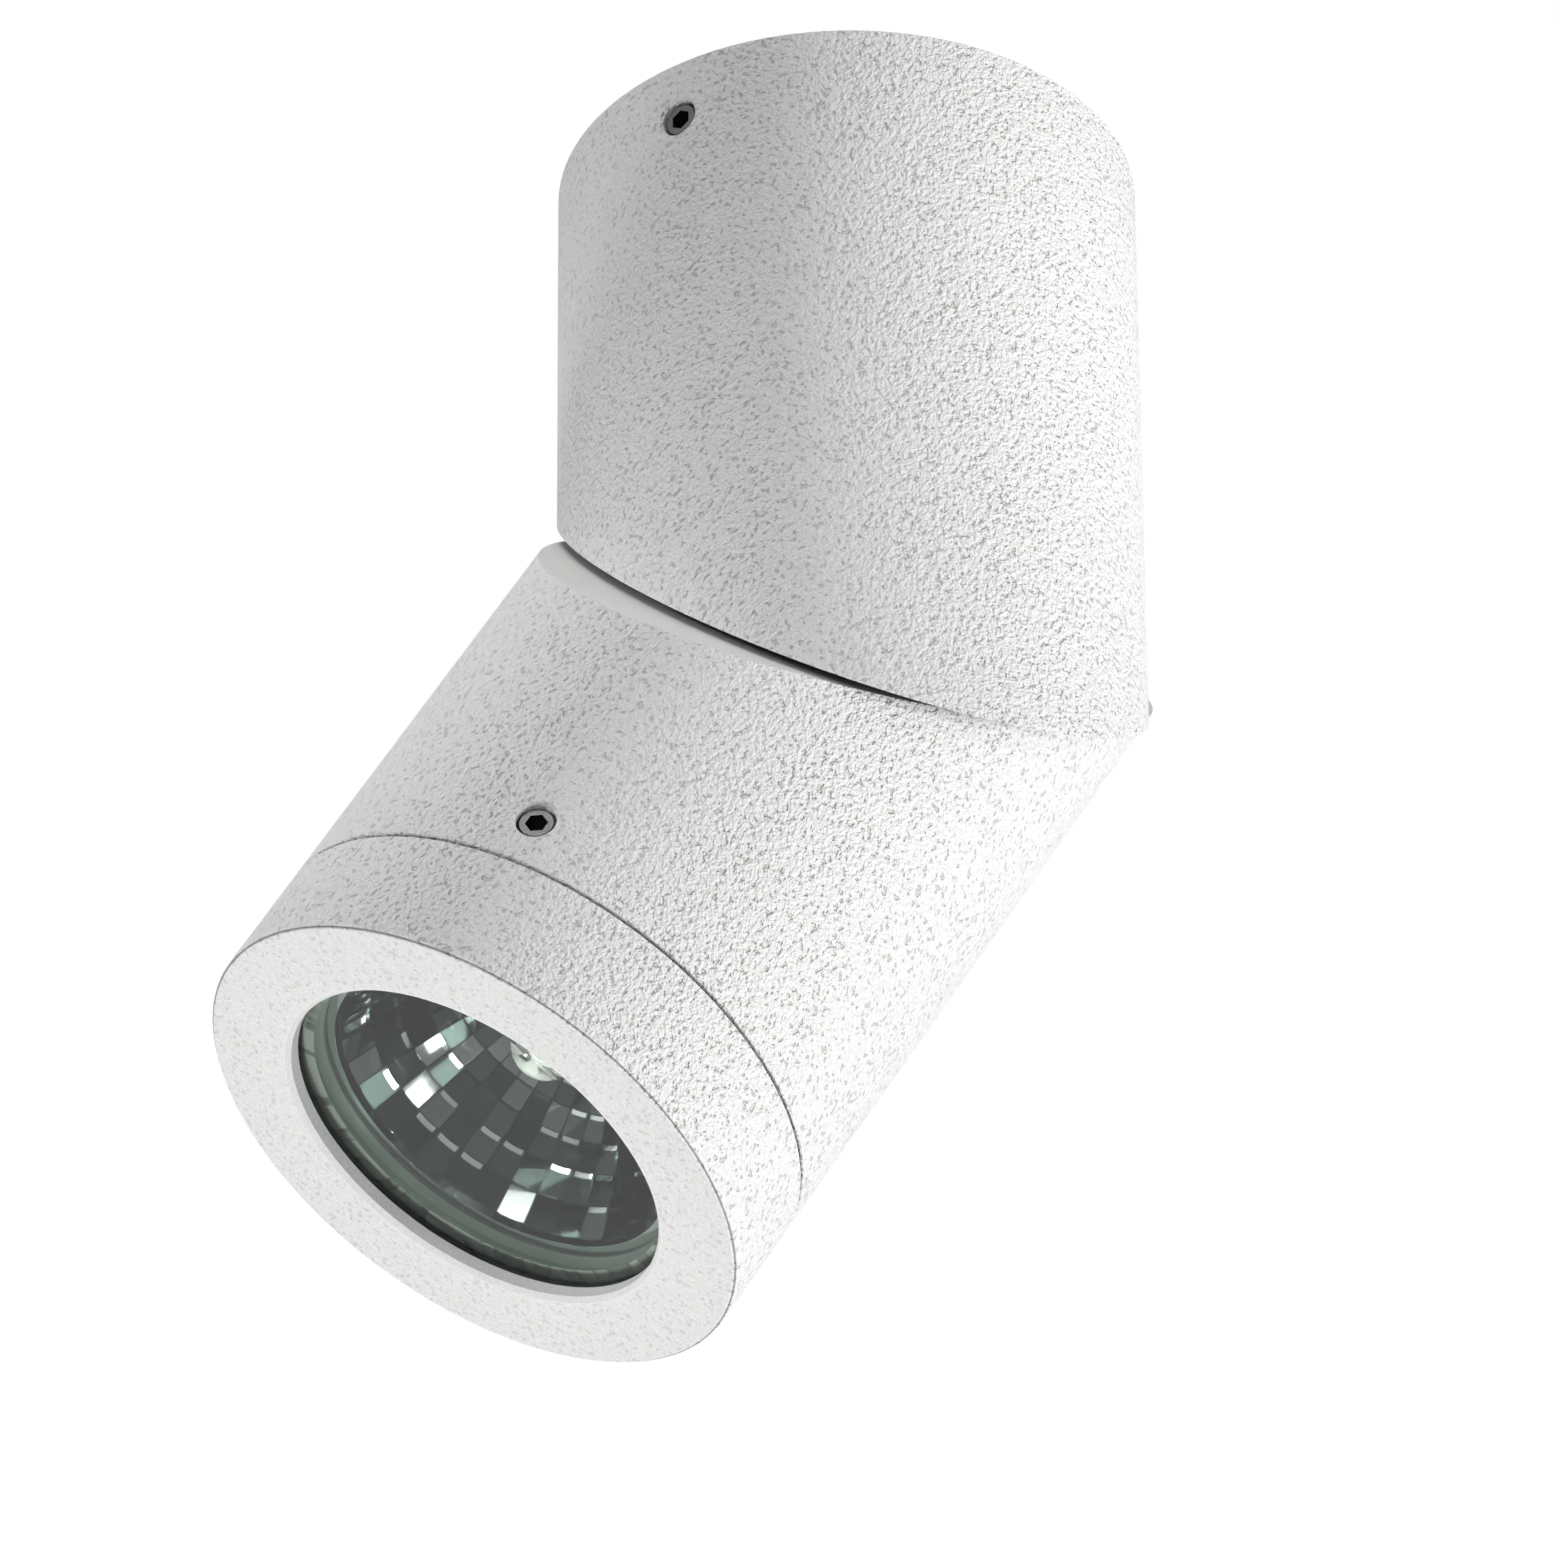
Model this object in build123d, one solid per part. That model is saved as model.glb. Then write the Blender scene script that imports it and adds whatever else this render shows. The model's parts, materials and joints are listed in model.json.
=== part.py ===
from build123d import *
import os
from math import asin, cos, degrees, radians, sin, tan

# Outer form, in millimetres and degrees
body_d = 75.0
wall = 3.0
pivot_drop = 67.0
pivot_to_front = 95.0
slant = 45.0
rest_turn = -43.5
joint_gap = 1.1
web = 5.0
edge_break = 0.4

# Fits
slip = 0.1
screw_clear = 0.05
running_clear = 0.05
seal_clear = 0.3

# Ceiling plate
plate_t = 4.0
collar_wall = 3.8
collar_h = 15.0
fixing_spacing = 50.0
fixing_slot_w = 5.0
fixing_slot_l = 10.0

# Cable grommet
cable_hole_d = 7.0
grommet_neck_d = 13.0
grommet_flange_d = 17.0
grommet_flange_t = 1.5

# Terminal block and its screws
terminal_collar_gap = 3.6
terminal_size = (14.0, 18.0, 14.0)
terminal_pole_gap = 9.0
terminal_row_gap = 8.4
terminal_screw_d = 3.2
terminal_screw_l = 5.0
terminal_screw_sink = 1.0
terminal_fixing_d = 2.4
terminal_head_d = 4.4
terminal_head_t = 1.6
terminal_fixing_inset = 2.6

# Socket grub screws of the base tube and of the front ring
grub_d = 5.0
grub_l = 6.0
grub_hex = 2.5
grub_hex_depth = 2.6
grub_sink = 0.8
grub_countersink = 0.5
base_grub_drop = 8.6
base_grub_angles = (-60.0, 120.0)
ring_grub_above_seam = 6.7
ring_grub_angle = 0.0

# Swivel
swing = 165.0
spindle_d = 16.0
spindle_bore_d = 9.0
spindle_flange_d = 24.0
spindle_flange_t = 3.0
bush_wall = 2.0
bush_flange_d = 26.0
bush_flange_t = 1.2
washer_d = 30.0
spring_d = 24.0
spring_t = 0.9
spring_rise = 0.8
nut_flats = 24.0
nut_h = 6.0
thread_spare = 2.0
stop_pin_d = 3.0
stop_radius = 27.0
stop_reach = 2.2
stop_clear = 0.4
swivel_seal_d = 2.0
swivel_seal_radius = 20.0

# Front ring
ring_h = 16.2
seam_gap = 0.45
seam_break = 0.15
spigot_h = 15.0
lip_t = 2.2
aperture_d = 52.5
lip_chamfer = 0.6
ring_seal_d = 1.8
ring_seal_above_seam = 2.0

# Glass, gasket and retainer
gasket_t = 0.5
gasket_land = 3.4
glass_t = 3.0
retainer_lip_t = 2.8
retainer_catch = 0.35
retainer_h = 7.2
clip_wire_d = 1.2
clip_gap_angle = 40.0

# Lamp
lamp_rim_d = 50.7
lamp_rim_t = 2.2
lamp_rim_step = 0.95
lamp_edge_t = 0.8
lamp_glass_t = 1.8
lamp_focus = 6.05
lamp_neck_d = 18.0
lamp_neck_hole_d = 14.0
lamp_neck_l = 5.9
facet_columns = 36
facet_rings = 8
capsule_d = 9.0
capsule_l = 15.0
cap_size = (11.0, 20.0)
cap_l = 10.0
pin_d = 1.5
pin_gap = 5.3
pin_l = 7.0

# Lampholder, bracket and screws
holder_size = (13.0, 20.0)
holder_l = 13.3
holder_hole_spare = 1.0
bracket_w = 14.0
bracket_t = 1.2
bracket_lug_w = 10.0
bracket_lug_l = 8.5
bracket_lug_h = 8.0
bracket_screw_inset = 4.5
holder_screw_gap = 14.0
small_screw_d = 3.0
small_screw_head_d = 5.5
small_screw_head_t = 2.0
small_screw_l = 6.0

# Leads
lead_d = 4.5
lead_bend = 7.0
lead_rise = 7.0
lead_slack = 22.0
lead_meet_gap = 0.5

# Places worked out from the sizes above, with the ceiling face at zero
body_r = body_d / 2
bore_r = body_r - wall
plate_r = bore_r - slip
collar_r = plate_r - collar_wall
front_z = -(pivot_drop + pivot_to_front)
shoulder_z = front_z + ring_h
seam_z = shoulder_z + seam_gap
half_gap = joint_gap / 2
ellipse_reach = body_r * tan(radians(slant)) + web / cos(radians(slant))
bush_r = spindle_d / 2 + bush_wall
spigot_r = bore_r - slip
lamp_seat_r = lamp_rim_d / 2 + slip
spigot_wall = (spigot_r - lamp_seat_r) / 2
ring_bore_r = spigot_r - spigot_wall
glass_front = front_z + lip_t + gasket_t
glass_back = glass_front + glass_t
lamp_front = glass_back + retainer_lip_t
retainer_lip_d = lamp_rim_d - 2 * retainer_catch
clip_z = lamp_front + lamp_rim_t + clip_wire_d / 2
mirror_front = lamp_front + lamp_rim_t / 2
lamp_bowl_d = lamp_rim_d - 2 * lamp_rim_step
lamp_mirror_d = lamp_bowl_d - 2 * lamp_edge_t
mirror_depth = (lamp_mirror_d ** 2 - lamp_neck_hole_d ** 2) / (16 * lamp_focus)
mirror_back = mirror_front + mirror_depth
lamp_neck_z = mirror_back + lamp_neck_l
cap_back = lamp_neck_z + cap_l
holder_back = cap_back + holder_l
bracket_back = holder_back + bracket_t
terminal_low = -(plate_t + terminal_size[2])
terminal_x = collar_r - terminal_collar_gap - terminal_size[0] / 2
terminal_fixing_y = terminal_size[1] / 2 - terminal_fixing_inset
swivel_seal_depth = swivel_seal_d - joint_gap + seal_clear
ring_seal_depth = ring_seal_d - slip

joint_normal = (sin(radians(slant)), 0, cos(radians(slant)))
joint_slope = (cos(radians(slant)), 0, -sin(radians(slant)))
pivot = Vector(0, 0, -pivot_drop)
joint_plane = Plane(origin=pivot, x_dir=joint_slope, z_dir=joint_normal)
swivel_axis = Axis(pivot, joint_normal)

nut_low = half_gap + web + bush_flange_t + spring_t + spring_rise
nut_high = nut_low + nut_h
spindle_high = nut_high + thread_spare
spindle_low = -(half_gap + web + spindle_flange_t)


# Plain shapes used throughout

def rod(diameter, low, high):
    """Upright round bar between two heights."""
    return Pos(0, 0, low) * Cylinder(diameter / 2, high - low, align=(Align.CENTER, Align.CENTER, Align.MIN))


def ring(outer_r, inner_r, low, high):
    """Upright tube between two heights."""
    return rod(2 * outer_r, low, high) - rod(2 * inner_r, low, high)


def block(size_x, size_y, low, high):
    """Upright block centred on the axis."""
    return Pos(0, 0, low) * Box(size_x, size_y, high - low, align=(Align.CENTER, Align.CENTER, Align.MIN))


def turned(points):
    """Solid turned about the upright axis from a closed outline of radius and height."""
    outline = Polyline(*[(r, 0, z) for r, z in points], close=True)
    return revolve(make_face(outline), axis=Axis.Z)


def on_joint(shape):
    """Place a shape that was made about its own upright axis on the swivel axis."""
    return joint_plane * shape


def above_joint(shape, height):
    """Keep what lies on the ceiling side of the slanted cut."""
    return split(shape, bisect_by=joint_plane.offset(height), keep=Keep.TOP)


def below_joint(shape, height):
    """Keep what lies on the lamp side of the slanted cut."""
    return split(shape, bisect_by=joint_plane.offset(height), keep=Keep.BOTTOM)


def radial(angle, height):
    """Place whose upright direction points outward from the axis."""
    outward = (cos(radians(angle)), sin(radians(angle)), 0)
    return Plane(origin=(0, 0, height), x_dir=(0, 0, 1), z_dir=outward)


def edges_at(shape, radius, height):
    """Round edges of one radius at one height."""
    picked = shape.edges().filter_by(GeomType.CIRCLE)
    picked = picked.filter_by(lambda e: abs(e.radius - radius) < 0.01)
    return picked.filter_by(lambda e: abs(e.arc_center.Z - height) < 0.01)


# Grub screws and the holes that take them

def grub_screw():
    tip = body_r - grub_sink - grub_l
    screw = rod(grub_d, tip, tip + grub_l)
    screw = chamfer(screw.edges().filter_by(GeomType.CIRCLE), edge_break)
    socket = extrude(RegularPolygon(grub_hex / 2, 6, major_radius=False), grub_hex_depth)
    return screw - Pos(0, 0, tip + grub_l - grub_hex_depth) * socket


def grub_hole():
    tip = body_r - grub_sink - grub_l
    hole = rod(grub_d + 2 * screw_clear, tip - screw_clear, body_r + wall)
    cone_r = grub_d / 2 + grub_countersink
    cone = Cone(0, cone_r, cone_r, align=(Align.CENTER, Align.CENTER, Align.MAX))
    return hole + Pos(0, 0, body_r) * cone


# Base body

def ceiling_plate():
    plate = rod(2 * plate_r, -plate_t, 0) + ring(plate_r, collar_r, -collar_h, -plate_t)
    slot = extrude(SlotOverall(fixing_slot_l, fixing_slot_w, rotation=90), -plate_t)
    plate -= Pos(0, fixing_spacing / 2, 0) * slot
    plate -= Pos(0, -fixing_spacing / 2, 0) * slot
    plate -= rod(grommet_neck_d, -plate_t, 0)
    plate -= rod(grommet_flange_d + 2 * slip, -grommet_flange_t, 0)
    plate -= Pos(terminal_x, -terminal_fixing_y, 0) * rod(terminal_fixing_d + 2 * screw_clear, -plate_t, 0)
    for angle in base_grub_angles:
        plate -= radial(angle, -base_grub_drop) * grub_hole()
    return chamfer(edges_at(plate, plate_r, -collar_h), edge_break)


def cable_grommet():
    body = rod(grommet_neck_d, -plate_t, -grommet_flange_t)
    body += rod(grommet_flange_d, -grommet_flange_t, 0)
    body += rod(grommet_flange_d, -plate_t - grommet_flange_t, -plate_t)
    return body - rod(cable_hole_d, -plate_t - grommet_flange_t, 0)


def terminal_places():
    half_x = terminal_row_gap / 2
    half_y = terminal_pole_gap / 2
    spots = [(x, y) for x in (-half_x, half_x) for y in (-half_y, half_y)]
    return [Pos(terminal_x + x, y, 0) for x, y in spots]


def terminal_block():
    size_x, size_y, _ = terminal_size
    body = Pos(terminal_x, 0, 0) * block(size_x, size_y, terminal_low, -plate_t)
    well_d = terminal_screw_d + 2 * screw_clear
    well = rod(well_d, terminal_low, terminal_low + terminal_screw_sink + terminal_screw_l)
    for place in terminal_places():
        body -= place * well
    fixing = rod(terminal_fixing_d + 2 * screw_clear, terminal_low, -plate_t)
    fixing += rod(terminal_head_d + 2 * slip, terminal_low, terminal_low + terminal_head_t)
    return body - Pos(terminal_x, -terminal_fixing_y, 0) * fixing


def terminal_screws():
    low = terminal_low + terminal_screw_sink
    screw = rod(terminal_screw_d, low, low + terminal_screw_l)
    slot_w = terminal_screw_d / 4
    screw -= block(slot_w, 2 * terminal_screw_d, low, low + terminal_screw_sink)
    return [place * screw for place in terminal_places()]


def terminal_fixing_screw():
    head = rod(terminal_head_d, terminal_low, terminal_low + terminal_head_t)
    shank = rod(terminal_fixing_d, terminal_low + terminal_head_t, 0)
    slot_w = terminal_head_d / 5
    slot = block(slot_w, 2 * terminal_head_d, terminal_low, terminal_low + terminal_head_t / 2)
    return Pos(terminal_x, -terminal_fixing_y, 0) * (head + shank - slot)


def base_tube():
    low = -(pivot_drop + ellipse_reach)
    outer = rod(body_d, low, 0)
    outer = chamfer(edges_at(outer, body_r, 0), edge_break)
    outer = above_joint(outer, half_gap)
    inner = above_joint(rod(2 * bore_r, low, 0), half_gap + web)
    tube = outer - inner
    tube -= on_joint(rod(2 * bush_r, half_gap, half_gap + web))
    tube -= on_joint(Pos(-stop_radius, 0, 0) * rod(stop_pin_d, half_gap, half_gap + web))
    for angle in base_grub_angles:
        tube -= radial(angle, -base_grub_drop) * grub_hole()
    return tube


def base_grub_screws():
    return [radial(angle, -base_grub_drop) * grub_screw() for angle in base_grub_angles]


def swivel_bush():
    top = half_gap + web
    sleeve_r = spindle_d / 2 + running_clear
    sleeve = ring(bush_r, sleeve_r, half_gap, top)
    return on_joint(sleeve + ring(bush_flange_d / 2, sleeve_r, top, top + bush_flange_t))


def swivel_stop_pin():
    pin = rod(stop_pin_d, -half_gap - stop_reach, half_gap + web)
    return on_joint(Pos(-stop_radius, 0, 0) * pin)


def base_lead():
    start = pivot + Vector(*joint_normal) * (spindle_high + lead_meet_gap)
    bend_rise = (terminal_x - start.X) / tan(radians(slant))
    bend = Vector(terminal_x, 0, start.Z + bend_rise)
    end = Vector(terminal_x, 0, terminal_low)
    path = FilletPolyline(start, bend, end, radius=lead_bend)
    return sweep(Plane(origin=start, z_dir=joint_normal) * Circle(lead_d / 2), path=path)


# Head body, modelled straight under the base

def stop_groove():
    """Part-round groove for the stop pin, with a land that it runs up against."""
    spare = degrees(asin((stop_pin_d / 2 + stop_clear) / stop_radius))
    arc = 2 * (swing + spare)
    width = stop_pin_d + 2 * stop_clear
    depth = stop_reach + stop_clear
    profile = Pos(stop_radius, 0, -half_gap - depth / 2) * (Rot(90, 0, 0) * Rectangle(width, depth))
    groove = revolve(profile, axis=Axis.Z, revolution_arc=arc)
    return Rot(0, 0, 180 - arc / 2) * groove


def seal_groove():
    inner_r = swivel_seal_radius - swivel_seal_d / 2 - slip
    outer_r = swivel_seal_radius + swivel_seal_d / 2 + slip
    return ring(outer_r, inner_r, -half_gap - swivel_seal_depth, -half_gap)


def bracket_lugs():
    """Two lugs on the wall that the lampholder strip is screwed to."""
    reach = bore_r - bracket_lug_l
    lug = Pos(0, reach, bracket_back) * Box(
        bracket_lug_w, bracket_lug_l + wall / 2, bracket_lug_h, align=(Align.CENTER, Align.MIN, Align.MIN)
    )
    return lug + Rot(0, 0, 180) * lug


def bracket_screw_y():
    return bore_r - bracket_screw_inset


def head_tube():
    high = -pivot_drop + ellipse_reach
    outer = rod(body_d, seam_z, high)
    outer = chamfer(edges_at(outer, body_r, seam_z), seam_break)
    outer = below_joint(outer, -half_gap)
    inner = below_joint(rod(2 * bore_r, seam_z, high), -half_gap - web)
    tube = outer - inner + bracket_lugs()
    bore = rod(spindle_d + 2 * screw_clear, -half_gap - web, -half_gap)
    tube -= on_joint(bore + stop_groove() + seal_groove())
    tapped = rod(small_screw_d + 2 * screw_clear, bracket_back, bracket_back + small_screw_l)
    for side in (-1, 1):
        tube -= Pos(0, side * bracket_screw_y(), 0) * tapped
    return tube - radial(ring_grub_angle, seam_z + ring_grub_above_seam) * grub_hole()


def swivel_spindle():
    flange = rod(spindle_flange_d, spindle_low, -half_gap - web)
    shank = rod(spindle_d, -half_gap - web, spindle_high)
    return on_joint(flange + shank - rod(spindle_bore_d, spindle_low, spindle_high))


def friction_washer():
    return on_joint(ring(washer_d / 2, spindle_d / 2 + slip, -half_gap, half_gap))


def swivel_spring():
    low = half_gap + web + bush_flange_t
    inner_r = spindle_d / 2 + slip
    outer_r = spring_d / 2
    outline = [(outer_r, low), (outer_r, low + spring_t), (inner_r, low + spring_t + spring_rise),
               (inner_r, low + spring_rise)]
    return on_joint(turned(outline))


def spindle_nut():
    nut = extrude(RegularPolygon(nut_flats / 2, 6, major_radius=False), nut_h)
    nut = Pos(0, 0, nut_low) * nut
    return on_joint(nut - rod(spindle_d + 2 * screw_clear, nut_low, nut_high))


def swivel_seal():
    height = -half_gap - swivel_seal_depth + swivel_seal_d / 2
    return on_joint(Pos(0, 0, height) * Torus(swivel_seal_radius, swivel_seal_d / 2))


def lampholder_bracket():
    length = 2 * (bore_r - slip)
    strip = block(bracket_w, length, holder_back, bracket_back) & rod(2 * (bore_r - slip), holder_back, bracket_back)
    strip -= rod(lead_d + 2 * slip, holder_back, bracket_back)
    hole = rod(small_screw_d + 2 * screw_clear, holder_back, bracket_back)
    for side in (-1, 1):
        strip -= Pos(0, side * bracket_screw_y(), 0) * hole
        strip -= Pos(0, side * holder_screw_gap / 2, 0) * hole
    return strip


def small_screw(head_z, direction):
    """Round-headed screw whose shank runs up or down from under its head."""
    head = Pos(0, 0, head_z) * rod(small_screw_head_d, -small_screw_head_t, 0)
    shank = Pos(0, 0, head_z) * rod(small_screw_d, 0, small_screw_l + bracket_t)
    slot_w = small_screw_head_d / 6
    slot = Pos(0, 0, head_z) * block(slot_w, 2 * small_screw_head_d, -small_screw_head_t, -small_screw_head_t / 2)
    screw = head + shank - slot
    if direction < 0:
        screw = Pos(0, 0, head_z) * (Rot(180, 0, 0) * (Pos(0, 0, -head_z) * screw))
    return screw


def bracket_screws():
    screw = small_screw(holder_back, 1)
    return [Pos(0, side * bracket_screw_y(), 0) * screw for side in (-1, 1)]


def holder_screws():
    screw = small_screw(bracket_back, -1)
    return [Pos(0, side * holder_screw_gap / 2, 0) * screw for side in (-1, 1)]


def lampholder():
    size_x, size_y = holder_size
    body = block(size_x, size_y, cap_back, holder_back)
    body = fillet(body.edges().filter_by(Axis.Z), 2 * edge_break)
    hole = rod(pin_d + 2 * slip, cap_back, cap_back + pin_l + holder_hole_spare)
    tapped = rod(small_screw_d + 2 * screw_clear, holder_back - small_screw_l, holder_back)
    for side in (-1, 1):
        body -= Pos(0, side * pin_gap / 2, 0) * hole
        body -= Pos(0, side * holder_screw_gap / 2, 0) * tapped
    return body


def head_lead():
    normal = Vector(*joint_normal)
    start = Vector(0, 0, holder_back)
    rise = Vector(0, 0, bracket_back + lead_rise)
    turn_in = pivot - normal * lead_slack
    end = pivot + normal * spindle_high
    path = FilletPolyline(start, rise, turn_in, end, radius=lead_bend)
    return sweep(Plane(origin=start, z_dir=(0, 0, 1)) * Circle(lead_d / 2), path=path)


def ring_grub_screw():
    return radial(ring_grub_angle, seam_z + ring_grub_above_seam) * grub_screw()


def front_ring():
    aperture_r = aperture_d / 2
    top = seam_z + spigot_h
    lip_back = front_z + lip_t
    outline = [(aperture_r, lip_back), (aperture_r, front_z + lip_chamfer), (aperture_r + lip_chamfer, front_z),
               (body_r - edge_break, front_z), (body_r, front_z + edge_break), (body_r, shoulder_z - seam_break),
               (body_r - seam_break, shoulder_z), (spigot_r, shoulder_z), (spigot_r, top - edge_break),
               (spigot_r - edge_break, top), (ring_bore_r, top), (ring_bore_r, lip_back)]
    body = turned(outline)
    groove_z = seam_z + ring_seal_above_seam
    half = ring_seal_d / 2 + slip
    body -= ring(bore_r, spigot_r - ring_seal_depth, groove_z - half, groove_z + half)
    return body - radial(ring_grub_angle, seam_z + ring_grub_above_seam) * grub_hole()


def ring_seal():
    centre_r = spigot_r - ring_seal_depth + ring_seal_d / 2
    return Pos(0, 0, seam_z + ring_seal_above_seam) * Torus(centre_r, ring_seal_d / 2 - screw_clear)


def glass_gasket():
    outer_r = ring_bore_r - slip
    return ring(outer_r, outer_r - gasket_land, front_z + lip_t, glass_front)


def front_glass():
    glass = rod(2 * (ring_bore_r - slip), glass_front, glass_back)
    return chamfer(glass.edges().filter_by(GeomType.CIRCLE), edge_break)


def glass_retainer():
    outer_r = ring_bore_r - screw_clear
    top = glass_back + retainer_h
    body = ring(outer_r, lamp_seat_r, lamp_front, top) + ring(outer_r, retainer_lip_d / 2, glass_back, lamp_front)
    half = clip_wire_d / 2
    return body - ring(lamp_seat_r + half, lamp_seat_r, clip_z - half, clip_z + half)


def lamp_clip():
    """Open wire ring that snaps into the retainer behind the lamp's rim."""
    wire = Pos(lamp_seat_r - screw_clear, 0, clip_z) * (Rot(90, 0, 0) * Circle(clip_wire_d / 2 - screw_clear))
    return revolve(wire, axis=Axis.Z, revolution_arc=360 - clip_gap_angle)


# Lamp

def mirror_z(radius):
    """Height of the mirror's bowl at one radius."""
    return mirror_back - (radius ** 2 - (lamp_neck_hole_d / 2) ** 2) / (4 * lamp_focus)


def mirror_cavity():
    """Bowl of flat facets in rings, each facet a true plane."""
    step = (lamp_mirror_d - lamp_neck_hole_d) / 2 / facet_rings
    radii = [lamp_mirror_d / 2 - step * i for i in range(facet_rings + 1)]
    sections = [Pos(0, 0, mirror_z(r)) * RegularPolygon(r, facet_columns) for r in radii]
    return loft(sections, ruled=True)


def lamp_reflector():
    rim_back = lamp_front + lamp_rim_t
    outside = rod(lamp_rim_d, lamp_front, rim_back)
    neck_r = lamp_neck_d / 2
    bowl_z = mirror_z(neck_r - lamp_glass_t) + lamp_glass_t
    bowl_r = lamp_bowl_d / 2
    middle_r = (bowl_r + neck_r) / 2
    middle_z = mirror_z(middle_r - lamp_glass_t)
    bowl = Polyline((neck_r, 0, bowl_z), (neck_r, 0, lamp_neck_z), (0, 0, lamp_neck_z), (0, 0, rim_back),
                    (bowl_r, 0, rim_back))
    curve = ThreePointArc((bowl_r, 0, rim_back), (middle_r, 0, middle_z), (neck_r, 0, bowl_z))
    outside += revolve(make_face([bowl, curve]), axis=Axis.Z)
    mouth = rod(lamp_mirror_d, lamp_front, mirror_front)
    neck = rod(lamp_neck_hole_d, mirror_back, lamp_neck_z)
    return outside - mouth - mirror_cavity() - neck


def lamp_cap():
    size_x, size_y = cap_size
    body = block(size_x, size_y, lamp_neck_z, cap_back)
    body = fillet(body.edges().filter_by(Axis.Z), 2 * edge_break)
    return body + rod(lamp_neck_hole_d - 2 * screw_clear, mirror_back, lamp_neck_z)


def lamp_capsule():
    radius = capsule_d / 2
    tip = mirror_back - capsule_l + radius
    return rod(capsule_d, tip, mirror_back) + Pos(0, 0, tip) * Sphere(radius)


def lamp_pins():
    pin = rod(pin_d, cap_back, cap_back + pin_l)
    pin = chamfer(pin.edges().filter_by(GeomType.CIRCLE).sort_by(Axis.Z)[-1], edge_break)
    return [Pos(0, side * pin_gap / 2, 0) * pin for side in (-1, 1)]


BASE_PIECES = (ceiling_plate, cable_grommet, terminal_block, terminal_screws, terminal_fixing_screw, base_tube,
               base_grub_screws, swivel_bush, swivel_stop_pin, base_lead)
HEAD_PIECES = (head_tube, swivel_spindle, friction_washer, swivel_spring, spindle_nut, swivel_seal,
               lampholder_bracket, bracket_screws, lampholder, holder_screws, head_lead, ring_grub_screw,
               front_ring, ring_seal, glass_gasket, front_glass, glass_retainer, lamp_clip, lamp_reflector,
               lamp_capsule, lamp_cap, lamp_pins)


def solids_of(shape):
    """Flat list of the solids of one piece or of a group of pieces."""
    pieces = shape if isinstance(shape, list) else [shape]
    return [solid for piece in pieces for solid in piece.solids()]


def write(name, solids):
    export_step(solids[0] if len(solids) == 1 else Compound(solids), f"parts/{name}.step")


os.makedirs("parts", exist_ok=True)
for make in BASE_PIECES:
    write(make.__name__, solids_of(make()))
for make in HEAD_PIECES:
    write(make.__name__, [solid.rotate(swivel_axis, rest_turn) for solid in solids_of(make())])
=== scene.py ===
import json
from math import cos, pi, radians, sin

import bpy
from mathutils import Matrix, Quaternion, Vector

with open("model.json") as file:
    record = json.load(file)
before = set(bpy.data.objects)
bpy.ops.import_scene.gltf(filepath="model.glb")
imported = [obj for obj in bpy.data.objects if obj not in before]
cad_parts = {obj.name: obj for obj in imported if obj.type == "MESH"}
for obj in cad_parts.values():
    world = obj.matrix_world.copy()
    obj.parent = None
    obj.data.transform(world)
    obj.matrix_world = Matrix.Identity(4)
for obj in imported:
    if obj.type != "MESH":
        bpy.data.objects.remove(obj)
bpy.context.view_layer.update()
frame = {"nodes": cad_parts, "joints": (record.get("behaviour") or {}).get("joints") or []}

NODES = frame["nodes"]

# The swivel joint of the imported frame, and the head's directions at rest
SWIVEL = frame["joints"][0]
PIVOT = Vector(SWIVEL["pos_m"])
JOINT_NORMAL = Vector(SWIVEL["axis"]).normalized()
TO_STRAIGHT = radians(sum(SWIVEL["range_deg"]) / 2)
HEAD_TURN = Quaternion(JOINT_NORMAL, -TO_STRAIGHT)
BEAM = HEAD_TURN @ Vector((0, 0, -1))
HEAD_SIDE = HEAD_TURN @ Vector((1, 0, 0))
HEAD_ACROSS = HEAD_TURN @ Vector((0, 1, 0))


def beam_points(name):
    """Distance along the beam from the joint, and from the lamp's axis, of each point of a node."""
    offsets = [vertex.co - PIVOT for vertex in NODES[name].data.vertices]
    alongs = [offset.dot(BEAM) for offset in offsets]
    return [(along, (offset - BEAM * along).length) for along, offset in zip(alongs, offsets)]


# Sizes of the front ring, whose shoulder starts past the head tube's end
RING_POINTS = beam_points("front_ring")
HEAD_END = max(along for along, _ in beam_points("head_tube"))
FRONT_DISTANCE = max(along for along, _ in RING_POINTS)
RING_HEIGHT = FRONT_DISTANCE - min(along for along, _ in RING_POINTS if along > HEAD_END)
BODY_RADIUS = max(radius for _, radius in RING_POINTS)
APERTURE_RADIUS = min(radius for _, radius in RING_POINTS)
FRONT = PIVOT + BEAM * FRONT_DISTANCE

# Sizes of the lamp, where points this near to its front, in metres, count as on it
ON_FRONT = 0.0001
LAMP_POINTS = beam_points("lamp_reflector")
LAMP_FRONT = max(along for along, _ in LAMP_POINTS)
LAMP_DEPTH = FRONT_DISTANCE - LAMP_FRONT
MIRROR_RADIUS = min(radius for along, radius in LAMP_POINTS if along > LAMP_FRONT - ON_FRONT)
MIRROR_NECK_RADIUS = min(radius for _, radius in LAMP_POINTS)
FACET_COLUMNS = 36
FACET_RINGS = 8

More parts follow.
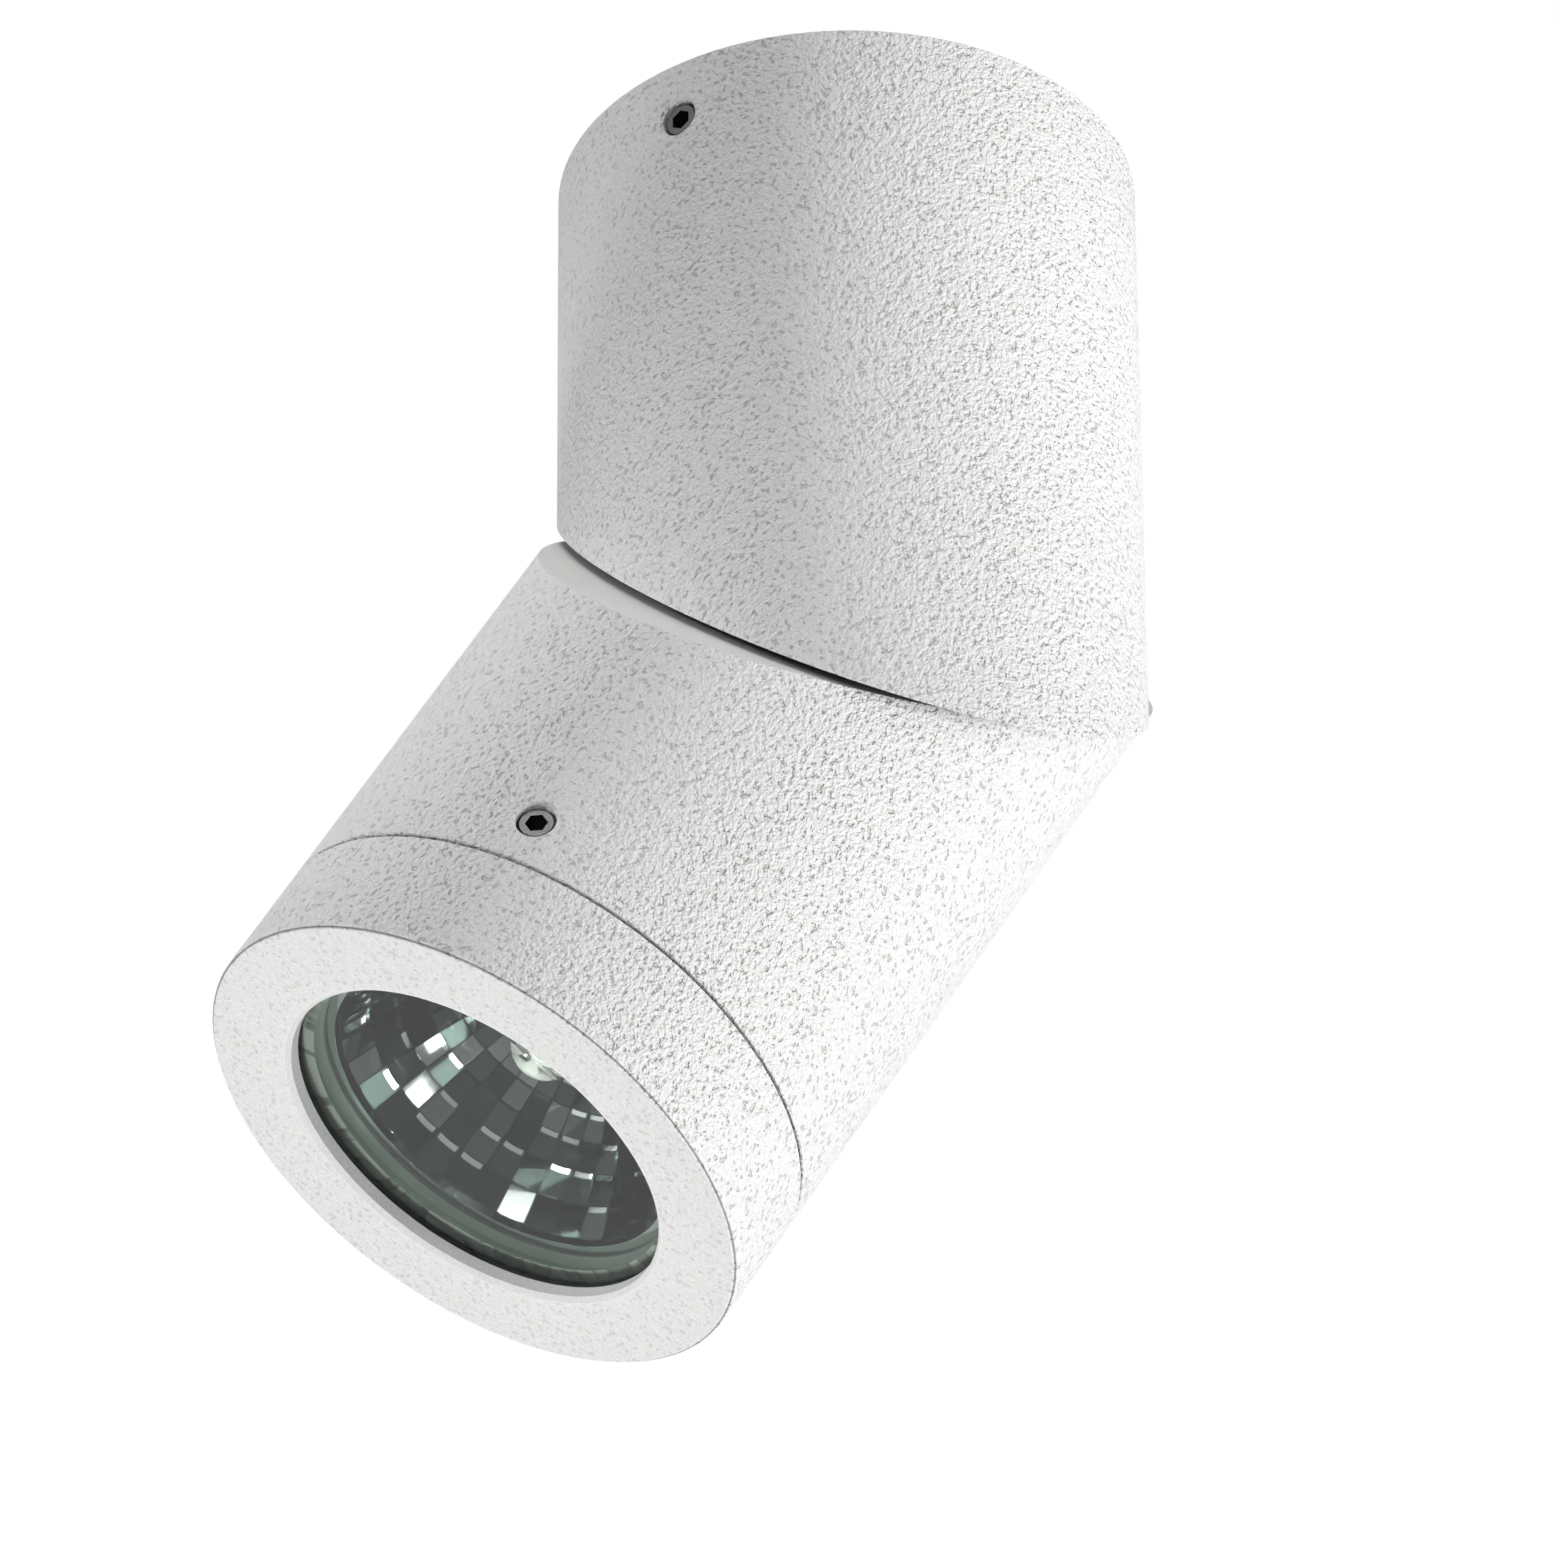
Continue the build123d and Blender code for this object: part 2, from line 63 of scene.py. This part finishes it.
# Camera of the photograph, in degrees, metres and pixels, with the sensor in millimetres
IMAGE_WIDTH = 1560
SENSOR_WIDTH = 36.0
VIEW_AZIMUTH = 65.5
VIEW_ELEVATION = -33.5
VIEW_ROLL = 0.4
VIEW_DISTANCE = 1.6
PIXELS_PER_METRE = 7875.0
VIEW_CENTRE = Vector((0, 0, -0.07125))
VIEW_CENTRE_RIGHT = 0.0092
VIEW_CENTRE_UP = 0.0158

# Cosines at which a surface starts to face a direction and does, and the span that a noise mostly keeps to
FACING_BAND = (0.9, 0.98)
NOISE_BAND = (0.3, 0.7)

# Structured paint: lumps and sand grains per metre, relief in metres, turn of the pattern, and gloss
LUMP_SCALE = 1350
SAND_SCALE = 3105
PAINT_RELIEF = 0.00056
PAINT_TURN = (0.6, 0.4, 0.3)
PAINT_ROUGHNESS = (0.5, 0.62)
PAINT_SPECULAR = 0.3

# Structured paint: noise at which pits and pale grains start and are full, shares of the relief, colours,
# the pits' grey being painted shade
PIT_BAND = (0.38, 0.29)
GRAIN_BAND = (0.36, 0.6)
SAND_SHARE = 0.4
PIT_SHARE = 0.3
PAINT_SHADE = (0.81, 0.81, 0.8)
PAINT_LIGHT = (0.88, 0.88, 0.87)
PIT_PAINTED_SHADE = (0.7, 0.7, 0.68)

# Front ring's paint: how much calmer its face is, and distances past the aperture of its smooth lip
FACE_CALM = 0.3
LIP_START = 0.001
LIP_FULL = 0.0007

# Dark places in the paint, with distances in metres at which each starts and is full, and colours: painted
# shade in the joint's gap and the ring's seam, and a dark grey line on the ring's outer edge
EDGE_BAND = (0.0004, 0.0002)
SPIGOT_DEPTH_BAND = (0.0003, 0.0001)
SPIGOT_RADIUS_BAND = (0.0003, 0.0006)
EDGE_GREY = (0.22, 0.22, 0.215)
GAP_PAINTED_SHADE = (0.1, 0.1, 0.1)

# Lamp mirror: relief and the rim's soft edge in metres, share that crowns each facet, gloss and its patches
FACET_RELIEF = 0.0006
RIM_BAND = (0.0001, -0.0001)
FACET_CROWN = 0.2
MIRROR_ROUGHNESS = (0.05, 0.09)
MIRROR_PATCHES = 160

# Facets: random numbers at which one gets a paler or bright painted reflection or a painted glint on one
# edge, and the edges across a facet
PALE_BAND = (0.0, 0.8)
BRIGHT_BAND = (0.74, 0.92)
GLINT_PICK_BAND = (0.45, 0.55)
LINE_BAND = (0.44, 0.49)
GLINT_EDGE_BAND = (0.3, 0.36)
GLINT_END_BAND = (0.42, 0.36)

# Lamp mirror: colours, the facets' being painted reflections of dark and bright surroundings
MIRROR_DARK_PAINTED_REFLECTION = (0.022, 0.034, 0.03)
MIRROR_PALE_PAINTED_REFLECTION = (0.1, 0.124, 0.115)
MIRROR_BRIGHT_PAINTED_REFLECTION = (0.36, 0.37, 0.365)
MIRROR_RIM_HIGHLIGHT = (0.72, 0.78, 0.75)
FACET_LINE = (0.03, 0.04, 0.038)
FACET_PAINTED_GLINT = (0.85, 0.88, 0.87)

# Retainer behind the glass: dark and light shade of its wall and of its front, which is lighter as painted
# light, and the painted shadow in its corner at the lamp
RETAINER_WALL = ((0.17, 0.225, 0.187), (0.22, 0.275, 0.235))
RETAINER_FRONT_PAINTED_LIGHT = ((0.205, 0.235, 0.203), (0.25, 0.28, 0.245))
RETAINER_CORNER_PAINTED_SHADOW = (0.02, 0.026, 0.025)
CORNER_BAND = (0.0006, 0.0003)

# Retainer behind the glass: grain per metre, relief in metres, gloss, and how metallic it is
RETAINER_GRAIN = 420
RETAINER_RELIEF = 0.00002
RETAINER_ROUGHNESS = (0.42, 0.5)
RETAINER_METALLIC = 0.5

# Clear glass: bending of light, relief in metres, then colour, most roughness, ripples per metre and node
GLASS_IOR = 1.5
GLASS_RELIEF = 0.00001
GLASSES = {
    "front_glass": ((0.9, 0.935, 0.918), 0.02, 60, "front_glass"),
    "quartz": ((0.97, 0.98, 0.97), 0.05, 260, "lamp_capsule"),
}

# Metals: dark and light shade, roughness from and to, grain per metre, relief in metres, and the nodes
METALS = {
    "cast_aluminium": ((0.5, 0.5, 0.5), (0.66, 0.66, 0.65), (0.42, 0.54), 300, 0.00006, ["ceiling_plate"]),
    "zinc_plated_steel": ((0.5, 0.51, 0.5), (0.68, 0.68, 0.66), (0.26, 0.38), 260, 0.00003,
                          ["swivel_spindle", "spindle_nut", "swivel_stop_pin", "lampholder_bracket",
                           "bracket_screws", "holder_screws", "terminal_fixing_screw"]),
    "dark_steel": ((0.075, 0.08, 0.078), (0.14, 0.145, 0.142), (0.28, 0.4), 700, 0.00003,
                   ["base_grub_screws", "ring_grub_screw"]),
    "spring_steel": ((0.28, 0.28, 0.29), (0.42, 0.42, 0.43), (0.2, 0.32), 400, 0.00002,
                     ["swivel_spring", "lamp_clip"]),
    "brass": ((0.55, 0.4, 0.18), (0.7, 0.54, 0.26), (0.24, 0.36), 420, 0.00002,
              ["terminal_screws", "swivel_bush", "lamp_pins"]),
}

# Rubber, plastic and ceramic: dark and light shade, roughness, mottle per metre, relief in metres, nodes
MOULDINGS = {
    "black_rubber": ((0.012, 0.012, 0.012), (0.03, 0.03, 0.03), (0.54, 0.7), 800, 0.00004,
                     ["cable_grommet", "swivel_seal", "ring_seal", "glass_gasket"]),
    "white_nylon": ((0.7, 0.7, 0.66), (0.8, 0.8, 0.77), (0.37, 0.53), 350, 0.00003, ["terminal_block"]),
    "dark_nylon": ((0.04, 0.04, 0.04), (0.08, 0.08, 0.078), (0.42, 0.58), 500, 0.00003,
                   ["friction_washer"]),
    "white_ceramic": ((0.76, 0.75, 0.71), (0.85, 0.84, 0.8), (0.34, 0.5), 500, 0.00003,
                      ["lampholder", "lamp_cap"]),
    "silicone_sheath": ((0.6, 0.58, 0.54), (0.7, 0.68, 0.64), (0.47, 0.63), 600, 0.00004,
                        ["base_lead", "head_lead"]),
}

# Metals and mouldings: how many times finer than the patches of colour the relief is
METAL_FINENESS = 5
MOULDING_FINENESS = 4

# Stage: the floor's place and size in metres, its looks, its share of own white, and the world's light
FLOOR_DROP = 1.3
FLOOR_SIZE = 14.0
FLOOR_SHADE = (0.86, 0.86, 0.86)
FLOOR_LIGHT = (0.9, 0.9, 0.9)
FLOOR_MOTTLE = 3.0
FLOOR_ROUGHNESS = 0.9
FLOOR_GLOW = 0.3
AMBIENT = 0.22
WHITE = 1.0


def view_axes():
    """Right, up and backward directions of the photograph's view."""
    azimuth = radians(VIEW_AZIMUTH)
    elevation = radians(VIEW_ELEVATION)
    right = Vector((cos(azimuth), sin(azimuth), 0))
    back = Vector((sin(azimuth) * cos(elevation), -cos(azimuth) * cos(elevation), sin(elevation)))
    return right, back.cross(right), back


RIGHT, UP, BACK = view_axes()
LEVEL_BACK = Vector((BACK.x, BACK.y, 0)).normalized()

# Lamps: distance from what they light and the beams' soft size in metres, and places on the object
LAMP_DISTANCE = 1.0
BEAM_SOFTNESS = 0.05
ON_BASE = PIVOT * 0.35
ON_HEAD = PIVOT + BEAM * 0.06

# Soft boxes aimed at the joint: direction, width and height in metres, and power in watts
SOFT_BOXES = {
    "key": (RIGHT * 0.92 + BACK * 0.45 - UP * 0.22, 0.25, 0.25, 8.0),
    "top": (Vector((0, 0, 0.85)) - RIGHT * 0.15 + LEVEL_BACK * 0.5, 0.16, 0.16, 2.2),
    "low_fill": (RIGHT * 0.47 - UP * 0.65 + BACK * 0.58, 0.25, 0.25, 1.8),
    "facet_light": (BACK * 0.65 + UP * 0.42 - RIGHT * 0.62, 0.46, 0.14, 1.0),
}

# Soft-edged beams: direction, the place that they light, angle in degrees, and power in watts
SOFT_BEAMS = {
    "face_fill": (BACK * 0.4 - RIGHT * 0.45 - UP * 0.8, FRONT, 16, 23.8),
    "head_fill": (UP * 0.5 - RIGHT * 0.8 + BACK * 0.22, ON_HEAD, 12, 10.5),
    "base_key": (RIGHT * 0.8 + BACK * 0.55 + UP * 0.1, ON_BASE, 9, 9),
    "base_fill": (LEVEL_BACK * 0.42 - RIGHT * 0.9, PIVOT, 8, 3.5),
}


# Node helpers

def new_material(name):
    material = bpy.data.materials.new(name)
    material.use_nodes = True
    return material, material.node_tree, material.node_tree.nodes["Principled BSDF"]


def connect(tree, value, socket):
    if isinstance(value, bpy.types.NodeSocket):
        tree.links.new(value, socket)
    else:
        socket.default_value = value


def add(tree, kind, inputs=None, **settings):
    """One shader node, with its settings and its input values or links."""
    node = tree.nodes.new(kind)
    for key, value in settings.items():
        setattr(node, key, value)
    for key, value in (inputs or {}).items():
        connect(tree, value, node.inputs[key])
    return node


def calc(tree, operation, first, second=0.0):
    return add(tree, "ShaderNodeMath", {0: first, 1: second}, operation=operation).outputs[0]


def dot(tree, vector, direction):
    node = add(tree, "ShaderNodeVectorMath", {0: vector, 1: tuple(direction)}, operation="DOT_PRODUCT")
    return node.outputs["Value"]


def place(tree):
    """Position on the object at rest, in metres."""
    return add(tree, "ShaderNodeTexCoord").outputs["Object"]


def noise(tree, scale, detail=2.0, roughness=0.5, vector=None):
    inputs = {"Vector": vector or place(tree), "Scale": scale, "Detail": detail, "Roughness": roughness}
    return add(tree, "ShaderNodeTexNoise", inputs).outputs["Fac"]


def ramp(tree, value, low, high, low_out=0.0, high_out=1.0):
    """Smooth step of a value between two limits, which may run either way."""
    inputs = {"Value": value, "From Min": low, "From Max": high, "To Min": low_out, "To Max": high_out}
    return add(tree, "ShaderNodeMapRange", inputs, interpolation_type="SMOOTHSTEP").outputs["Result"]


def by_edge(tree, value, edge, band):
    """Smooth step that starts and is full at the band's two distances short of an edge."""
    start, full = band
    return ramp(tree, value, edge - start, edge - full)


def vary(tree, pattern, low, high):
    """A number that a noise pattern varies between two limits."""
    return ramp(tree, pattern, *NOISE_BAND, low, high)


def opaque(colour):
    """A colour link as it is, or a plain colour with its opacity."""
    return colour if isinstance(colour, bpy.types.NodeSocket) else (*colour, 1)


def blend(tree, factor, first, second):
    """Mix of two colours, from the first at zero to the second at one."""
    inputs = {0: factor, 6: opaque(first), 7: opaque(second)}
    return add(tree, "ShaderNodeMix", inputs, data_type="RGBA").outputs[2]


def bump(tree, shader, height, distance, strength=1.0):
    node = add(tree, "ShaderNodeBump", {"Height": height, "Distance": distance, "Strength": strength})
    tree.links.new(node.outputs["Normal"], shader.inputs["Normal"])


def mix_output(tree, factor, first, second):
    """Make a material's surface a mix of two shaders."""
    mixed = add(tree, "ShaderNodeMixShader", {0: factor, 1: first.outputs[0], 2: second.outputs[0]})
    tree.links.new(mixed.outputs[0], tree.nodes["Material Output"].inputs["Surface"])


def seen(tree):
    """One where the camera sees a surface, itself or in a mirror or through glass."""
    rays = add(tree, "ShaderNodeLightPath").outputs
    direct = calc(tree, "MAXIMUM", rays["Is Camera Ray"], rays["Is Glossy Ray"])
    return calc(tree, "MAXIMUM", direct, rays["Is Transmission Ray"])


# Places on the object, as masks and measures

def facing(tree, direction):
    """One where the surface looks in a direction, and zero elsewhere."""
    normal = add(tree, "ShaderNodeTexCoord").outputs["Normal"]
    return ramp(tree, dot(tree, normal, direction), *FACING_BAND)


def beam_place(tree):
    """Distance from the lamp's axis, its two parts, and the depth behind the front."""
    inputs = {0: place(tree), 1: tuple(FRONT)}
    offset = add(tree, "ShaderNodeVectorMath", inputs, operation="SUBTRACT").outputs[0]
    side = dot(tree, offset, HEAD_SIDE)
    across = dot(tree, offset, HEAD_ACROSS)
    squares = calc(tree, "ADD", calc(tree, "POWER", side, 2.0), calc(tree, "POWER", across, 2.0))
    return calc(tree, "SQRT", squares), side, across, dot(tree, offset, -BEAM)


def base_cut(tree):
    """One on the base tube's slanted face, which is calm and coloured dark grey as painted shade for the
    joint's gap.
    """
    return facing(tree, -JOINT_NORMAL)


def head_cut(tree):
    """One on the head tube's slanted face, whose paint is smooth."""
    return facing(tree, JOINT_NORMAL)


def calm_ring(tree):
    """One on the front ring's smooth lip, less on its calmer face, and zero elsewhere."""
    lip = ramp(tree, beam_place(tree)[0], APERTURE_RADIUS + LIP_START, APERTURE_RADIUS + LIP_FULL)
    return calc(tree, "MAXIMUM", lip, calc(tree, "MULTIPLY", facing(tree, BEAM), FACE_CALM))


def front_edge(tree):
    """One on the front ring's sharp outer edge, which gets a thin line of dark grey."""
    radius, _, _, depth = beam_place(tree)
    outside = by_edge(tree, radius, BODY_RADIUS, EDGE_BAND)
    return calc(tree, "MULTIPLY", outside, ramp(tree, depth, *EDGE_BAND))


def spigot(tree):
    """One on the machined spigot and shoulder of the front ring, which carry no paint and are coloured dark
    grey as painted shade in the seam.
    """
    radius, _, _, depth = beam_place(tree)
    behind = by_edge(tree, depth, RING_HEIGHT, SPIGOT_DEPTH_BAND)
    return calc(tree, "MULTIPLY", behind, by_edge(tree, radius, BODY_RADIUS, SPIGOT_RADIUS_BAND))


# Materials

def structured_paint(name, calm, *dark_places):
    """White paint, lumpy and sandy with painted shade in its pits, calm in places, with a dark colour for
    each place given.
    """
    material, tree, shader = new_material(name)
    turned = add(tree, "ShaderNodeVectorRotate", {"Vector": place(tree), "Rotation": PAINT_TURN},
                 rotation_type="EULER_XYZ").outputs[0]
    lumps = noise(tree, LUMP_SCALE, detail=1.0, vector=turned)
    sand = noise(tree, SAND_SCALE, detail=1.0, vector=turned)
    rough = calc(tree, "SUBTRACT", 1.0, calm(tree))
    pits = calc(tree, "MULTIPLY", ramp(tree, lumps, *PIT_BAND), rough)
    grains = blend(tree, ramp(tree, sand, *GRAIN_BAND), PAINT_SHADE, PAINT_LIGHT)
    # The pits take a grey that is painted shade, for the shade that falls in them
    colour = blend(tree, pits, grains, PIT_PAINTED_SHADE)
    for dark_place, shade in dark_places:
        colour = blend(tree, dark_place(tree), colour, shade)
    connect(tree, colour, shader.inputs["Base Color"])
    connect(tree, vary(tree, sand, *PAINT_ROUGHNESS), shader.inputs["Roughness"])
    shader.inputs["Specular IOR Level"].default_value = PAINT_SPECULAR
    height = calc(tree, "ADD", lumps, calc(tree, "MULTIPLY", sand, SAND_SHARE))
    height = calc(tree, "SUBTRACT", height, calc(tree, "MULTIPLY", pits, PIT_SHARE))
    bump(tree, shader, height, PAINT_RELIEF, rough)
    return material


def metal(name, dark, light, roughness, grain, relief):
    """Bare metal with fine grain and slight unevenness of colour and gloss."""
    material, tree, shader = new_material(name)
    patches = noise(tree, grain, detail=4.0, roughness=0.6)
    connect(tree, blend(tree, patches, dark, light), shader.inputs["Base Color"])
    connect(tree, vary(tree, patches, *roughness), shader.inputs["Roughness"])
    shader.inputs["Metallic"].default_value = 1.0
    bump(tree, shader, noise(tree, grain * METAL_FINENESS, detail=3.0), relief)
    return material


def moulded(name, dark, light, roughness, mottle, relief):
    """Rubber, plastic or ceramic with a fine mottled surface."""
    material, tree, shader = new_material(name)
    patches = noise(tree, mottle, detail=3.0, roughness=0.55)
    connect(tree, blend(tree, patches, dark, light), shader.inputs["Base Color"])
    connect(tree, vary(tree, patches, *roughness), shader.inputs["Roughness"])
    bump(tree, shader, noise(tree, mottle * MOULDING_FINENESS), relief)
    return material


def facet_noise(tree, column, ring):
    """Three steady random numbers for each facet."""
    cell = add(tree, "ShaderNodeCombineXYZ", {0: calc(tree, "FLOOR", column), 1: calc(tree, "FLOOR", ring)})
    inputs = {"Vector": cell.outputs[0]}
    colour = add(tree, "ShaderNodeTexWhiteNoise", inputs, noise_dimensions="2D").outputs["Color"]
    return add(tree, "ShaderNodeSeparateColor", {0: colour}).outputs[:3]


def centred(tree, value):
    """Place across one facet, from minus a half to a half."""
    return calc(tree, "SUBTRACT", calc(tree, "FRACT", value), 0.5)


def facet_height(tree, u, v, lean_u, lean_v):
    """Height of a facet that leans by its own two numbers and is slightly crowned."""
    crown = calc(tree, "ADD", calc(tree, "POWER", u, 2.0), calc(tree, "POWER", v, 2.0))
    slope_u = calc(tree, "MULTIPLY", calc(tree, "SUBTRACT", lean_u, 0.5), u)
    slope_v = calc(tree, "MULTIPLY", calc(tree, "SUBTRACT", lean_v, 0.5), v)
    slope = calc(tree, "ADD", slope_u, slope_v)
    return calc(tree, "SUBTRACT", slope, calc(tree, "MULTIPLY", crown, FACET_CROWN))


def facet_colour(tree, u, v, glint_pick, bright):
    """Colour of a facet: a dark, paler or bright painted reflection, with dark lines round it and on some a
    painted glint along one edge.
    """
    # The facets' body colours are painted reflections: dark for dark surroundings, bright for bright ones
    body = blend(tree, ramp(tree, bright, *PALE_BAND), MIRROR_DARK_PAINTED_REFLECTION, MIRROR_PALE_PAINTED_REFLECTION)
    body = blend(tree, ramp(tree, bright, *BRIGHT_BAND), body, MIRROR_BRIGHT_PAINTED_REFLECTION)
    across = calc(tree, "ABSOLUTE", u)
    edge = calc(tree, "MAXIMUM", across, calc(tree, "ABSOLUTE", v))
    lined = blend(tree, ramp(tree, edge, *LINE_BAND), body, FACET_LINE)
    # Some facets get a painted glint along one edge
    painted_glint = calc(tree, "MULTIPLY", ramp(tree, v, *GLINT_EDGE_BAND), ramp(tree, glint_pick, *GLINT_PICK_BAND))
    painted_glint = calc(tree, "MULTIPLY", painted_glint, ramp(tree, across, *GLINT_END_BAND))
    return blend(tree, painted_glint, lined, FACET_PAINTED_GLINT)


def faceted_mirror(name):
    """Mirror of facets that each lean a little, coloured with painted reflections and glints, inside a rim
    with a painted highlight.
    """
    material, tree, shader = new_material(name)
    radius, side, across, _ = beam_place(tree)
    column = calc(tree, "MULTIPLY", calc(tree, "ARCTAN2", across, side), FACET_COLUMNS / (2 * pi))
    ring = calc(tree, "MULTIPLY", calc(tree, "SUBTRACT", MIRROR_RADIUS, radius),
                FACET_RINGS / (MIRROR_RADIUS - MIRROR_NECK_RADIUS))
    first, second, third = facet_noise(tree, column, ring)
    u = centred(tree, column)
    v = centred(tree, ring)
    rim = by_edge(tree, radius, MIRROR_RADIUS, RIM_BAND)
    # The rim takes a bright colour that is a painted highlight
    colour = blend(tree, rim, facet_colour(tree, u, v, second, third), MIRROR_RIM_HIGHLIGHT)
    connect(tree, colour, shader.inputs["Base Color"])
    shader.inputs["Metallic"].default_value = 1.0
    connect(tree, vary(tree, noise(tree, MIRROR_PATCHES), *MIRROR_ROUGHNESS), shader.inputs["Roughness"])
    inside = calc(tree, "SUBTRACT", 1.0, rim)
    height = calc(tree, "MULTIPLY", facet_height(tree, u, v, first, second), inside)
    bump(tree, shader, height, FACET_RELIEF)
    return material


def retainer_metal(name):
    """Satin grey-green metal, with painted light making its flat front lighter and a painted shadow
    darkening the corner where it meets the lamp.
    """
    material, tree, shader = new_material(name)
    depth = beam_place(tree)[3]
    turned = noise(tree, RETAINER_GRAIN, detail=3.0, roughness=0.6)
    wall = blend(tree, turned, *RETAINER_WALL)
    front = blend(tree, turned, *RETAINER_FRONT_PAINTED_LIGHT)
    # Painted shadow in the corner where the retainer meets the lamp
    corner = by_edge(tree, depth, LAMP_DEPTH, CORNER_BAND)
    # Painted light: the front, facing out of the lamp, takes the lighter copy of the colour
    colour = blend(tree, facing(tree, BEAM), wall, front)
    connect(tree, blend(tree, corner, colour, RETAINER_CORNER_PAINTED_SHADOW), shader.inputs["Base Color"])
    shader.inputs["Metallic"].default_value = RETAINER_METALLIC
    connect(tree, vary(tree, turned, *RETAINER_ROUGHNESS), shader.inputs["Roughness"])
    bump(tree, shader, turned, RETAINER_RELIEF)
    return material


def clear_glass(name, colour, roughness, ripples):
    """Clear glass with faint ripples, which lets the lamps light what is behind it."""
    material, tree, shader = new_material(name)
    shader.inputs["Base Color"].default_value = opaque(colour)
    shader.inputs["Transmission Weight"].default_value = 1.0
    shader.inputs["IOR"].default_value = GLASS_IOR
    connect(tree, vary(tree, noise(tree, ripples), 0.0, roughness), shader.inputs["Roughness"])
    bump(tree, shader, noise(tree, ripples), GLASS_RELIEF)
    through = add(tree, "ShaderNodeBsdfTransparent", {"Color": opaque(colour)})
    mix_output(tree, add(tree, "ShaderNodeLightPath").outputs["Is Shadow Ray"], shader, through)
    return material


def dress(material, *names):
    for name in names:
        slots = NODES[name].data.materials
        slots.clear()
        slots.append(material)


def dress_all():
    # The base's slanted face and the ring's spigot get a dark grey that is painted shade for the joint's
    # gap and the ring's seam
    dress(structured_paint("white_paint_base", base_cut, (base_cut, GAP_PAINTED_SHADE)), "base_tube")
    dress(structured_paint("white_paint_head", head_cut), "head_tube")
    ring_dark_places = ((front_edge, EDGE_GREY), (spigot, GAP_PAINTED_SHADE))
    dress(structured_paint("white_paint_ring", calm_ring, *ring_dark_places), "front_ring")
    dress(faceted_mirror("lamp_mirror"), "lamp_reflector")
    dress(retainer_metal("dark_anodised_metal"), "glass_retainer")
    for name, (*looks, node) in GLASSES.items():
        dress(clear_glass(name, *looks), node)
    for name, (*looks, nodes) in METALS.items():
        dress(metal(name, *looks), *nodes)
    for name, (*looks, nodes) in MOULDINGS.items():
        dress(moulded(name, *looks), *nodes)


# Camera, light and stage

def add_camera():
    data = bpy.data.cameras.new("photo_camera")
    data.sensor_fit = "HORIZONTAL"
    data.sensor_width = SENSOR_WIDTH
    data.lens = PIXELS_PER_METRE * VIEW_DISTANCE / IMAGE_WIDTH * SENSOR_WIDTH
    camera = bpy.data.objects.new("photo_camera", data)
    bpy.context.scene.collection.objects.link(camera)
    target = VIEW_CENTRE - RIGHT * VIEW_CENTRE_RIGHT - UP * VIEW_CENTRE_UP
    roll = Quaternion(BACK, -radians(VIEW_ROLL))
    axes = Matrix((roll @ RIGHT, roll @ UP, BACK)).transposed()
    camera.matrix_world = Matrix.Translation(target + BACK * VIEW_DISTANCE) @ axes.to_4x4()
    bpy.context.scene.camera = camera


def aim(name, data, direction, target):
    """Put a lamp at its distance from a place, looking at it."""
    lamp = bpy.data.objects.new(name, data)
    direction = direction.normalized()
    lamp.location = target + direction * LAMP_DISTANCE
    lamp.rotation_euler = direction.to_track_quat("Z", "Y").to_euler()
    bpy.context.scene.collection.objects.link(lamp)


def add_soft_box(name, direction, width, height, power):
    data = bpy.data.lights.new(name, "AREA")
    data.shape = "RECTANGLE"
    data.size = width
    data.size_y = height
    data.energy = power
    aim(name, data, direction, PIVOT)


def add_soft_beam(name, direction, target, angle, power):
    data = bpy.data.lights.new(name, "SPOT")
    data.spot_size = radians(angle)
    data.spot_blend = 1.0
    data.shadow_soft_size = BEAM_SOFTNESS
    data.energy = power
    aim(name, data, direction, target)


def add_world():
    """A world that lights the object softly and looks white."""
    world = bpy.data.worlds.new("studio")
    world.use_nodes = True
    tree = world.node_tree
    tree.nodes.clear()
    ambient = add(tree, "ShaderNodeBackground", {"Color": (1, 1, 1, 1), "Strength": AMBIENT})
    white = add(tree, "ShaderNodeBackground", {"Color": (1, 1, 1, 1), "Strength": WHITE})
    mixed = add(tree, "ShaderNodeMixShader", {0: seen(tree), 1: ambient.outputs[0], 2: white.outputs[0]})
    output = add(tree, "ShaderNodeOutputWorld")
    tree.links.new(mixed.outputs[0], output.inputs["Surface"])
    bpy.context.scene.world = world


def add_floor():
    """A pale floor that takes shadows and looks paler than the light that falls on it."""
    bpy.ops.mesh.primitive_plane_add(size=FLOOR_SIZE, location=(0, 0, PIVOT.z - FLOOR_DROP))
    floor = bpy.context.object
    floor.name = "floor"
    material, tree, shader = new_material("pale_floor")
    pale = blend(tree, noise(tree, FLOOR_MOTTLE), FLOOR_SHADE, FLOOR_LIGHT)
    connect(tree, pale, shader.inputs["Base Color"])
    shader.inputs["Roughness"].default_value = FLOOR_ROUGHNESS
    glow = add(tree, "ShaderNodeEmission", {"Color": pale, "Strength": WHITE})
    mix_output(tree, calc(tree, "MULTIPLY", seen(tree), FLOOR_GLOW), shader, glow)
    floor.data.materials.append(material)


def add_stage():
    add_camera()
    add_world()
    add_floor()
    for name, settings in SOFT_BOXES.items():
        add_soft_box(name, *settings)
    for name, settings in SOFT_BEAMS.items():
        add_soft_beam(name, *settings)
    bpy.context.scene.view_settings.view_transform = "Standard"


dress_all()
add_stage()
